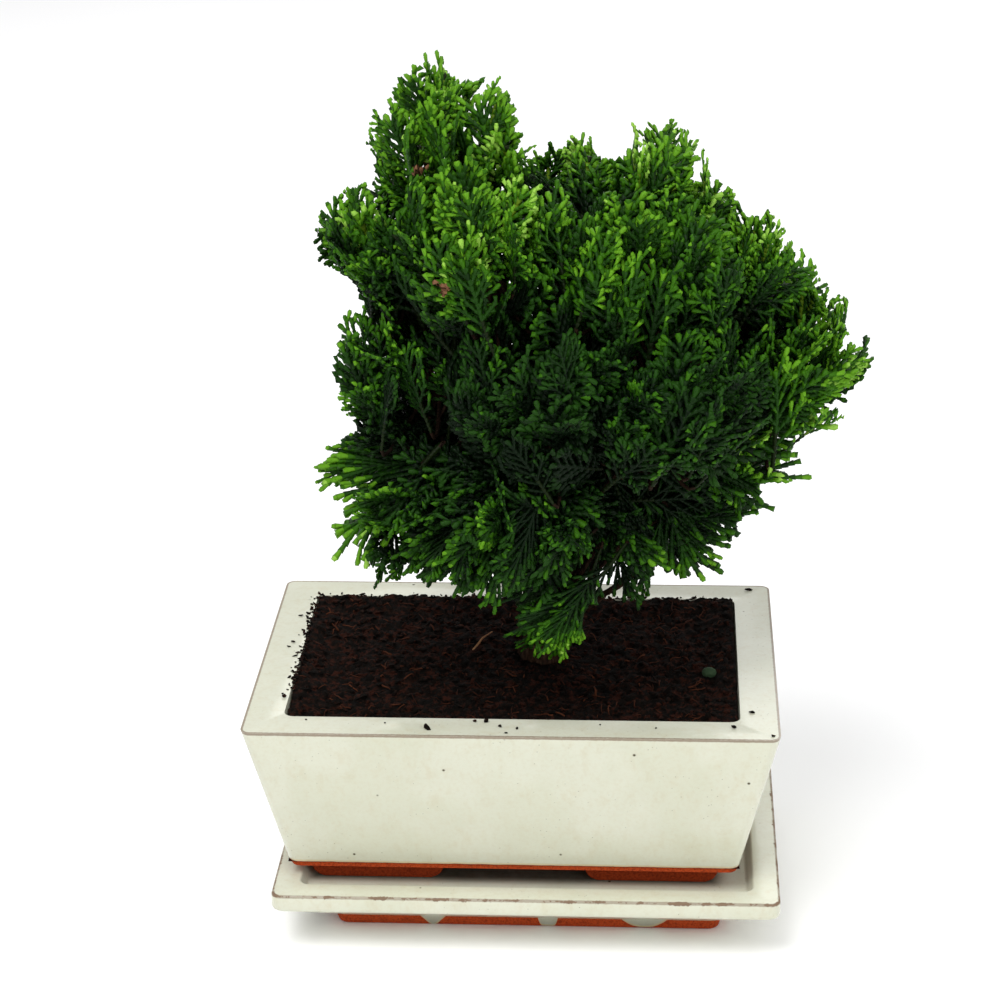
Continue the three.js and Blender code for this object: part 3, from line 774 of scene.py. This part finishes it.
# Strips of bark run along the nearest limb, so the pattern is stretched along its direction.
limb_ends = []
for name in LIMB_NODES:
    points = node_points(name)
    middle = points.mean(0)
    axis = np.linalg.svd(points - middle, full_matrices=False)[2][0]
    reach = (points - middle) @ axis
    limb_ends.append((middle + axis * reach.min(), middle + axis * reach.max()))
starts = np.array([ends[0] for ends in limb_ends])
spans = np.array([ends[1] - ends[0] for ends in limb_ends])
for point, normal in zip(limbs.data.vertices, [v.normal.copy() for v in limbs.data.vertices]):
    at = np.array(point.co) / MM
    shares = np.clip(((at - starts) * spans).sum(1) / (spans ** 2).sum(1), 0, 1)
    nearest = np.linalg.norm(starts + spans * shares[:, None] - at, axis=1).argmin()
    axis = spans[nearest] / np.linalg.norm(spans[nearest])
    squeezed = Vector(at - axis * (at @ axis) * 0.86) * 0.75
    ridge = 1 - abs(noise.noise(squeezed)) * 2.2 + 0.4 * noise.noise(squeezed * 2.7)
    room_to_grow = STRIP_DEPTH * min(1.0, (at[2] - SOIL_LEVEL + 0.6) / 2)
    point.co = point.co + normal * (ridge - 0.55) * room_to_grow * MM
bpy.ops.object.shade_smooth()
limbs.data.materials.clear()
# Painted shade: the trunk and boughs' bark is dimmed to about a third.
limbs.data.materials.append(bark("stringy_bark", 0.32))
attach(limbs, "root")
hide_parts(*LIMB_NODES)

# ------------------------------ foliage
# Flat fans of scale leaves: each green thread is a string of small blunt scales pressed on a hidden stem,
# and it branches left and right in one plane. Fans grow on thin brown twigs from each bough's tip out to
# the edge of the mass's own space, by the same rule as the frame's shoots.

# Middle, reach and shade of each mass, in millimetres. The shade is the slot its greens are dealt around.
# Those shades are partly each mass's own green and partly painted light and shade, set for how lit the mass
# stands.
MASSES = {
    "leader_top": ((-24, 2, 234.5), (28, 26, 28), 1.0),
    "upper_left": ((-42, -2, 205), (25, 24, 21), 0.4),
    "top_right": ((36, 8, 216), (25.5, 25, 28), 1.5),
    "upper_front": ((-9, -28, 211), (26, 21, 29), 0.9),
    "upper_right_front": ((35, -26, 203), (27, 20, 24), 0.4),
    "right_upper": ((66, 2, 193), (25, 27, 24), 1.3),
    "right": ((77, -5, 169), (28, 28, 25), 1.0),
    "right_lower": ((67, -11, 145), (30.5, 28, 22), 1.4),
    "right_bottom": ((46, -14, 118), (31, 27, 22), 1.4),
    "left_middle": ((-35, -7, 171), (25, 27, 28), 1.2),
    "left_lower": ((-39, -11, 130.5), (29, 28, 29), 1.1),
    "centre_front": ((9, -37, 172), (30, 22, 30), -0.5),
    "centre_lower": ((-4, -33, 130), (33, 23, 27), 0.6),
    "front_droop": ((8, -30, 101), (22, 20, 23), 1.6),
    "right_front": ((44, -36, 168), (27, 22, 30), -0.4),
    "back_top": ((13, 28, 203), (28, 24, 26), 1.6),
    "back_left": ((-30, 34, 168), (29, 26, 33), 1.1),
    "back_right": ((54, 37, 167), (31, 25, 33), 1.1),
    "back_centre": ((11, 46, 160), (27, 20, 31), 1.2),
    "back_left_lower": ((-26, 35, 124), (30, 26, 22), 0.6),
    "back_right_lower": ((34, 38, 122), (32, 24, 23), 0.6),
}
MIDDLES = np.array([row[0] for row in MASSES.values()])
REACHES = np.array([row[1] for row in MASSES.values()])
SIZES = np.cbrt(REACHES.prod(1))

# Depth is 0 at the crown's heart and 1 at its surface. Fans point away from a place low on the trunk.
HEART = np.array([12.0, 6.0, 148.0])
CROWN_REACH = np.array([88.0, 62.0, 95.0])
CORE_DEPTH = 0.42
LEAN_FROM = np.array([8.0, 10.0, 133.0])

# Fan tips are sought in TRIALS ways from a mass's middle. Those near its middle or deep in the crown are
# inner ones, which come last. Spacings are parts of the mass's size; the others are millimetres or depths.
TRIALS = 89
INNERMOST, OUTERMOST = 0.15, 0.99
HIDDEN_DEPTH = 0.32
INNER_SHARE, INNER_DEPTH = 0.45, 0.6
SPACING, SWEEPING_SPACING, INNER_SPACING = 0.34, 0.07, 0.2
CELL_MARGIN, COMB_MARGIN = -5.0, -16.0
FORWARD = 0.25

# The crown's outline as seen from in front: how far its tips reach from its middle, every 8 degrees.
FRONT_EYE = np.array(CAMERA_PLACE) / MM
OUTLINE_MIDDLE = (18.0, 167.0)
OUTLINE = [
    82, 81, 76, 70, 68, 71, 65, 65, 72, 77, 74, 74, 70, 85, 101, 105, 97, 91, 87, 88, 87, 72, 72,
    73, 74, 91, 91, 100, 103, 95, 87, 88, 95, 97, 84, 84, 81, 77, 78, 76, 70, 74, 82, 75, 79,
]

# One scale whorl along +X, for a pitch and width of 1: a narrow foot ring and a wide shoulder ring whose
# side corners reach forward. A bud is the same with a narrow end, and rounds off a branchlet.
SCALE_PITCH = 2.0
SCALE_WIDTH = 1.95
SCALE_THICKNESS = 1.15
WHORL = np.array([
    [0.00, 0.34, -0.16], [0.00, 0.00, 0.40], [0.00, -0.34, -0.16],
    [1.12, 0.54, -0.22], [0.85, 0.00, 0.60], [1.12, -0.54, -0.22],
])
BUD = WHORL * np.array([[1.0, 1.45, 1.45]] * 3 + [[0.45, 0.6, 0.6]] * 3)
CORNERS = len(WHORL)
WHORL_FACES = np.array([
    [0, 1, 4], [0, 4, 3], [1, 2, 5], [1, 5, 4], [2, 0, 3], [2, 3, 5], [3, 4, 5],
])

# Gaps that the light comes through, seen from in front: middle, half length and half width, and slope.
OPEN_GAPS = [
    (24.3, 234.4, 7.9, 6.5, 61), (-53.7, 189.5, 9.5, 5, -37), (85.4, 141.2, 8.8, 6.2, -16),
    (-16.3, 254.7, 7, 5, -13), (2.8, 241.4, 12.4, 3.7, -52), (-46.4, 225.5, 6.9, 4.2, 66),
    (-56.2, 146.4, 7.7, 3.2, 40), (66.2, 116.7, 6.5, 3.5, 16), (-56.1, 104.3, 5.4, 3.2, 58),
    (93.7, 180.6, 5.1, 3.3, -59), (72.5, 127.3, 5.5, 4.1, -7), (-59.9, 119.8, 4.2, 3.4, -32),
    (81.5, 130, 5.6, 1.7, 4), (78.3, 134.2, 6.2, 1.5, 1), (-60.8, 110, 4.3, 2.4, 73),
    (45, 97.7, 4.3, 2, 0), (95.8, 160.4, 4.5, 2.1, 39), (63.5, 214, 4.3, 1.6, -10),
    (51.5, 101.1, 3.7, 1.5, -48), (-37.9, 249.6, 6.1, 1.6, 67), (91.4, 155.5, 6.2, 1.2, 2),
    (17.9, 85.4, 6, 3.4, 90), (-7.3, 88.4, 5, 3.2, 80), (42.4, 89, 5, 3, 70),
    (-22.6, 90.2, 5, 2.6, 10),
]

# Two withered tips in front: place across, place up and radius.
WITHERED = [(-29.8, 225.4, 2.1), (-24.0, 191.0, 1.7)]


def unit(vector):
    return vector / np.linalg.norm(vector, axis=-1, keepdims=True)


def grow_fan(seed, length, reach, angles, fineness):
    """One flat fan in its own plane, as rows of scale whorls.

    A row is x, y, heading, width, rise, parent row, order, share along its branchlet, whorls left to the
    tip, and whether it is a bud.
    """
    random = np.random.default_rng(seed)
    rows = []
    waiting = [(np.zeros(2), 0.0, length, 0, -1, 0.0, 1)]
    while waiting:
        start, heading, size, order, parent, height, first_side = waiting.pop(0)
        count = max(2, int(round(size / SCALE_PITCH)))
        side = first_side
        climb = random.normal(0, 0.05 + 0.06 * order)
        for step in range(count):
            share = step / count
            width = SCALE_WIDTH * (1.0 - 0.1 * order) * (0.86 + 0.2 * share) * random.uniform(0.92, 1.08)
            rows.append((*start, heading, width, height, parent, order, share, count - step, 0))
            here = len(rows) - 1
            start = start + SCALE_PITCH * np.array([np.cos(heading), np.sin(heading)])
            height += climb * SCALE_PITCH
            heading += random.normal(0, 0.035) - 0.012 * order * np.sign(heading)
            parent = here
            spread = np.interp(share, [0, 1], angles) + random.normal(0, 0.08)
            if order == 0 and share > 0.12 and step < count - 2:
                along = share
                child = length * min(0.13 + reach * along * 1.5, reach * (1.25 - along))
                child *= random.uniform(0.85, 1.12)
                waiting.append((start, heading + side * spread, child, 1, here, height, side))
                side = -side
            if order == 1 and step >= 1 and step < count - 1 and random.random() < fineness:
                child = min(0.55 * (count - step), 3.4) * SCALE_PITCH * random.uniform(0.7, 1.1)
                waiting.append((start, heading + side * spread * 0.85, child, 2, here, height, side))
                side = -side
        rows.append((*start, heading, width, height, parent, order, 1.0, 0, 1))
    return np.array(rows)


# Six tight fans, four loose plumes and four long combs are grown once and used all over the crown.
FANS = [grow_fan(11 + i, 33.0, 0.46, (0.85, 0.5), 0.85) for i in range(6)]
PLUMES = [grow_fan(31 + i, 44.0, 0.46, (0.60, 0.32), 0.28) for i in range(4)]
COMBS = [grow_fan(41 + i, 54.0, 0.52, (0.52, 0.26), 0.10) for i in range(4)]
COMB_FACE = np.array([0.1, -0.8, 0.6])
DROOP = np.array([-0.45, -0.25, -0.35])


def fan_points(rows, curl, cup):
    """The whorls' corners in the fan's frame, bent along it by curl and across it by cup."""
    start, heading, width, height = rows[:, :2], rows[:, 2], rows[:, 3], rows[:, 4]
    scale = np.stack([np.full(len(rows), SCALE_PITCH), width, np.full(len(rows), SCALE_THICKNESS)], -1)
    local = np.where(rows[:, 9, None, None] > 0, BUD, WHORL) * scale[:, None]
    cos, sin = np.cos(heading)[:, None], np.sin(heading)[:, None]
    x = start[:, 0, None] + local[..., 0] * cos - local[..., 1] * sin
    y = start[:, 1, None] + local[..., 0] * sin + local[..., 1] * cos
    z = height[:, None] + local[..., 2] + curl * x ** 2 + cup * y ** 2
    return np.stack([x, y, z], -1)


def seen_from_front(points):
    """Where points show from in front: across and up, on the upright plane through the pot's middle."""
    share = FRONT_EYE[1] / (FRONT_EYE[1] - points[..., 1])
    seen = FRONT_EYE + (points - FRONT_EYE) * share[..., None]
    return seen[..., 0], seen[..., 2]


def in_outline(points, spare):
    """Which points show inside the crown's outline from in front, and clear of its open gaps."""
    x, z = seen_from_front(points)
    across, up = x - OUTLINE_MIDDLE[0], z - OUTLINE_MIDDLE[1]
    angle = np.degrees(np.arctan2(up, across))
    reach = np.interp(angle, np.arange(len(OUTLINE)) * 8.0, OUTLINE, period=360)
    behind = np.clip(points[..., 1] * 0.6 - 7.0, 0, 10.0) * np.clip((175 - points[..., 2]) / 20, 0, 1)
    inside = np.hypot(across, up) <= reach + spare - behind
    for gap_x, gap_z, length, width, slope in OPEN_GAPS:
        cos, sin = math.cos(math.radians(slope)), math.sin(math.radians(slope))
        along, aside = (x - gap_x) * cos + (z - gap_z) * sin, (z - gap_z) * cos - (x - gap_x) * sin
        inside &= (along / length) ** 2 + (aside / width) ** 2 > 0.8
    return inside


def depth_of(points):
    return np.linalg.norm((points - HEART) / CROWN_REACH, axis=-1)


def clear_of_cells(index, points, spare=1.5, cell_margin=CELL_MARGIN):
    """Which points lie in a mass's own space.

    That is within its ellipsoid or the crown's core, nearer to it than to the others, and in the outline.
    """
    away = points - MIDDLES[index]
    inside = (((away / REACHES[index]) ** 2).sum(-1) <= 1) | (depth_of(points) <= CORE_DEPTH)
    own = (away ** 2).sum(-1) - SIZES[index] ** 2
    theirs = ((points[..., None, :] - MIDDLES) ** 2).sum(-1) - SIZES ** 2
    spans_apart = np.linalg.norm(MIDDLES - MIDDLES[index], axis=1)
    spans_apart[index] = 1.0
    margin = (theirs - own[..., None]) / (2 * spans_apart)
    margin[..., index] = np.inf
    return inside & (margin.min(-1) >= cell_margin) & in_outline(points, spare)


def cell_edge(index, outward):
    """How far out a point can go that way, as a part of the reach, before it leaves the mass's space."""
    shares = np.arange(OUTERMOST + 0.3, 0, -0.03)
    points = MIDDLES[index] + outward * REACHES[index] * shares[:, None]
    inside = clear_of_cells(index, points, -1.0)
    return shares[inside.argmax()] if inside.any() else 0.0


def lean_at(tip):
    """The way a fan points, laid back along the crown's surface, and the way the surface faces there."""
    out = unit(tip - LEAN_FROM)
    surface = unit((tip - HEART) / CROWN_REACH ** 2)
    lean = out - 0.35 * (out @ surface) * surface
    lean[2] += np.clip((tip[2] - 150) / 90, -0.55, 0.5)
    return unit(lean), surface


def stem_of(name, index):
    """The mass's own stem, from the tip of its bough to a little past its middle."""
    carrier = "bough_" + name if "bough_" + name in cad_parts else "trunk"
    points = node_points(carrier)
    nearest = np.argsort(np.linalg.norm(points - MIDDLES[index], axis=1))[:12]
    heading = unit(MIDDLES[index] - HEART)
    heading[2] += np.clip((MIDDLES[index][2] - 140) / 50, -0.5, 1.0)
    return points[nearest].mean(0), MIDDLES[index] + 0.1 * SIZES[index] * unit(heading)


def seeded(seed):
    """The frame's own repeatable random numbers from 0 to 1."""
    state = seed
    while True:
        state = state * 48271 % 2147483647
        yield state / 2147483647


def outward_way(trial, turn):
    """Directions spread evenly over the whole sphere, taken in an order that jumps about."""
    step = trial * 13 % TRIALS
    height = 1 - (2 * step + 1) / TRIALS
    angle = step * 2.39996 + turn
    ring = math.sqrt(1 - height * height)
    return np.array([ring * math.cos(angle), ring * math.sin(angle), height])


def lay_fan(rows, tip, lean, face, size, curl, cup):
    """A fan's whorls put with its tip at a point, pointing along lean with its upper side along face."""
    face = unit(face - (face @ lean) * lean)
    placed = fan_points(rows, curl, cup) * size @ np.stack([lean, np.cross(face, lean), face])
    return placed + tip - placed[int(np.argmax(rows[:, 0])), -1]


def attached(rows, allowed):
    """Which whorls stay: those allowed that hang on a kept one all the way back to the fan's foot."""
    kept = np.zeros(len(rows), bool)
    for i, parent in enumerate(rows[:, 5].astype(int)):
        kept[i] = allowed[i] and (parent < 0 or kept[parent])
    return kept


def twig_to(fan_foot, lean, foot, end):
    """A thin twig that leaves the mass's stem and swings into line with its fan."""
    across = np.clip((fan_foot - foot) @ (end - foot) / ((end - foot) ** 2).sum() - FORWARD, 0.1, 0.98)
    base = foot + (end - foot) * across
    curve = np.linspace(0, 1, 6)[:, None]
    bend = fan_foot - lean * 0.3 * np.linalg.norm(fan_foot - base)
    route = (1 - curve) ** 2 * base + 2 * curve * (1 - curve) * bend + curve ** 2 * fan_foot
    return tube(route, np.linspace(0.75, 0.5, 6), 5)


def tips_of(index):
    """The tips that a mass's fans may have, outer ones first: way out, roll, place and depth of each."""
    numbers = seeded(1009 + index * 7919)
    turn = next(numbers) * 2 * np.pi
    outer, inner = [], []
    for trial in range(TRIALS):
        outward = outward_way(trial, turn)
        roll = (next(numbers) - 0.5) * 2.0
        share = cell_edge(index, outward)
        tip = MIDDLES[index] + outward * REACHES[index] * share
        depth = depth_of(tip)
        if share >= INNERMOST and depth >= HIDDEN_DEPTH:
            is_inner = share < INNER_SHARE or depth < INNER_DEPTH
            (inner if is_inner else outer).append((outward, roll, tip, depth))
    return outer + inner


# Slots of the leaf finishes: six greens from dark to light, then the axes and the withered tips.
LIGHTEST, STEM_OLIVE, STEM_DARK, DEAD_BROWN = 5, 6, 7, 8
# The first two are painted light: lighter greens at the top of each high mass and on the sweeping growth.
TOP_LIGHT = 1.0
SWEEPING_LIGHT = 1.1
TIP_LIGHT, NEXT_TIP_LIGHT = 1.5, 0.5
WOODY_SHARE = 0.35
OUTER_DEPTH = 0.8


def whorl_slots(rows, placed, kept, tone_and_painted_light, is_fan, random):
    """The slot of each whorl of a fan: lighter near tips, darker deeper in the crown as painted shade, with
    a woody or olive axis.
    """
    order, along, left = rows[:, 6], rows[:, 7], rows[:, 8]
    depths = depth_of(placed[:, -1])
    outside = depths > OUTER_DEPTH
    tone = tone_and_painted_light + (left <= 1) * TIP_LIGHT + (left == 2) * NEXT_TIP_LIGHT
    # Painted shade: whorls deeper in the crown are dealt darker greens.
    tone += np.clip((depths - 0.92) * 7, -2.8, 0.3)
    slot = np.clip(np.round(tone + random.normal(0.35, 0.3, len(rows))), 0, LIGHTEST)

    # An axis is woody at its foot and wherever it has lost its branchlets.
    leafy = np.zeros(len(rows), bool)
    leafy[rows[kept & (order == 1), 5].astype(int)] = True
    leafy[:-2] |= leafy[1:-1] | leafy[2:]
    axis = (order == 0) & (left > 2)
    slot[axis & ((along < WOODY_SHARE) | ~leafy)] = STEM_DARK
    if tone_and_painted_light > 2.0 and is_fan:
        slot[axis & (along > WOODY_SHARE) & leafy & outside] = STEM_OLIVE
    across, up = seen_from_front(placed[:, -1])
    for x, z, radius in WITHERED:
        slot[(np.hypot(across - x, up - z) < radius) & outside & (placed[:, -1, 1] < 0)] = DEAD_BROWN
    return slot


def is_sweeping(tip):
    """Whether a tip is in the long loose growth at the lower right or the lower left."""
    return tip[2] < 165 and tip[0] > 38 or tip[2] < 150 and tip[0] < -48


def grow_mass(name, index):
    """The fans of one mass, each with the slot of every whorl, and the twigs that carry them."""
    random = np.random.default_rng(500 + index)
    foot, end = stem_of(name, index)
    droops = name == "front_droop"
    # Painted light: how much lighter the top of this mass is dealt than its bottom.
    top_light = TOP_LIGHT * np.clip((MIDDLES[index][2] - 130) / 40, 0, 1)
    tips, leaves, twigs = [], [], [tube(np.linspace(foot, end, 4), (1.15, 1.05, 0.95, 0.8), 6)]
    for outward, roll, tip, depth in tips_of(index):
        sweeping = is_sweeping(tip)
        spacing = SPACING + SWEEPING_SPACING * sweeping + INNER_SPACING * (depth < INNER_DEPTH)
        if any(np.linalg.norm(tip - other) < SIZES[index] * spacing for other in tips):
            continue
        tips.append(tip)
        lean, surface = lean_at(tip)
        lean = unit(lean + random.normal(0, 0.24, 3) + 0.35 * outward)
        kind = FANS
        if droops:
            lean = unit(lean + DROOP)
            surface = unit(COMB_FACE + random.normal(0, 0.3, 3))
        if sweeping and random.random() < 0.8:
            kind = COMBS
            surface = unit(COMB_FACE + random.normal(0, 0.2, 3))
            roll *= 0.3
        elif droops or tip[2] < 125 or tip[2] < 160 and random.random() < 0.4:
            kind = PLUMES
        rows = kind[random.integers(len(kind))]
        face = surface * math.cos(roll) + np.cross(lean, surface) * math.sin(roll)
        size = random.uniform(0.75, 1.05) * (0.8 if droops else 1.0) + 0.1 * (kind is COMBS)
        curl, cup = random.uniform(-0.006, 0.002), random.uniform(-0.012, 0.0)
        placed = lay_fan(rows, tip, lean, face, size, curl - 0.006 * droops, cup)
        near_foot = rows[:, 0] < 0.25 * rows[:, 0].max()
        margin = COMB_MARGIN if kind is COMBS else CELL_MARGIN
        kept = attached(rows, clear_of_cells(index, placed[:, -1], 1.5, margin) | near_foot)

        # A fan that would lose most of its leaves, or stand with its foot outside the crown, isn't grown.
        fan_foot = placed[0, :3].mean(0)
        deep_enough = 0.97 * depth if depth >= INNER_DEPTH else INNER_DEPTH
        if kept.mean() < 0.35 or depth_of(fan_foot) > deep_enough or not in_outline(fan_foot, -4.0):
            continue
        twigs.append(twig_to(fan_foot, lean, foot, end))
        # Painted light: the sweeping growth is dealt lighter greens, and so are the upper fans of each high
        # mass, with its lower ones darker.
        tone_and_painted_light = MASSES[name][2] + random.normal(0, 0.5) + SWEEPING_LIGHT * sweeping
        tone_and_painted_light += top_light * (tip[2] - MIDDLES[index][2]) / REACHES[index][2]
        slots = whorl_slots(rows, placed, kept, tone_and_painted_light, kind is FANS, random)
        leaves.append((placed[kept], slots[kept]))
    return leaves, twigs


LEAF_SURFACE = {"Roughness": 0.45, "Specular IOR Level": 0.09}
# The lightest green is whitened a little as a painted sheen on the brightest tips.
LEAF_GREENS = [
    (0.002, 0.0085, 0.0016), (0.005, 0.021, 0.0022), (0.0105, 0.045, 0.0028),
    (0.029, 0.108, 0.0025), (0.098, 0.26, 0.01), (0.25, 0.47, 0.06),
    (0.085, 0.15, 0.006), (0.007, 0.014, 0.0025), (0.17, 0.08, 0.04),
]
leaf_finishes = []
for level, colour in enumerate(LEAF_GREENS):
    leaf = Finish(f"scale_leaf_{level}", {**LEAF_SURFACE, "Base Color": (*colour, 1.0)})
    leaf_finishes.append(leaf.material)

all_twigs = []
for index, name in enumerate(MASSES):
    leaves, twigs = grow_mass(name, index)
    all_twigs += twigs
    points = np.concatenate([placed for placed, _ in leaves])
    slots = np.concatenate([tones for _, tones in leaves])
    faces = (np.arange(len(points))[:, None, None] * CORNERS + WHORL_FACES[None]).reshape(-1, 3)
    slots = np.repeat(slots, len(WHORL_FACES))
    spray = mesh_piece(f"sprays_{name}", points.reshape(-1, 3), faces, leaf_finishes, slots)
    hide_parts(f"foliage_{name}")
# Painted shade: the fine twigs' bark is dimmed further still.
twig_piece = mesh_piece("fine_twigs", *join(all_twigs), [bark("twig_bark", 0.22)])
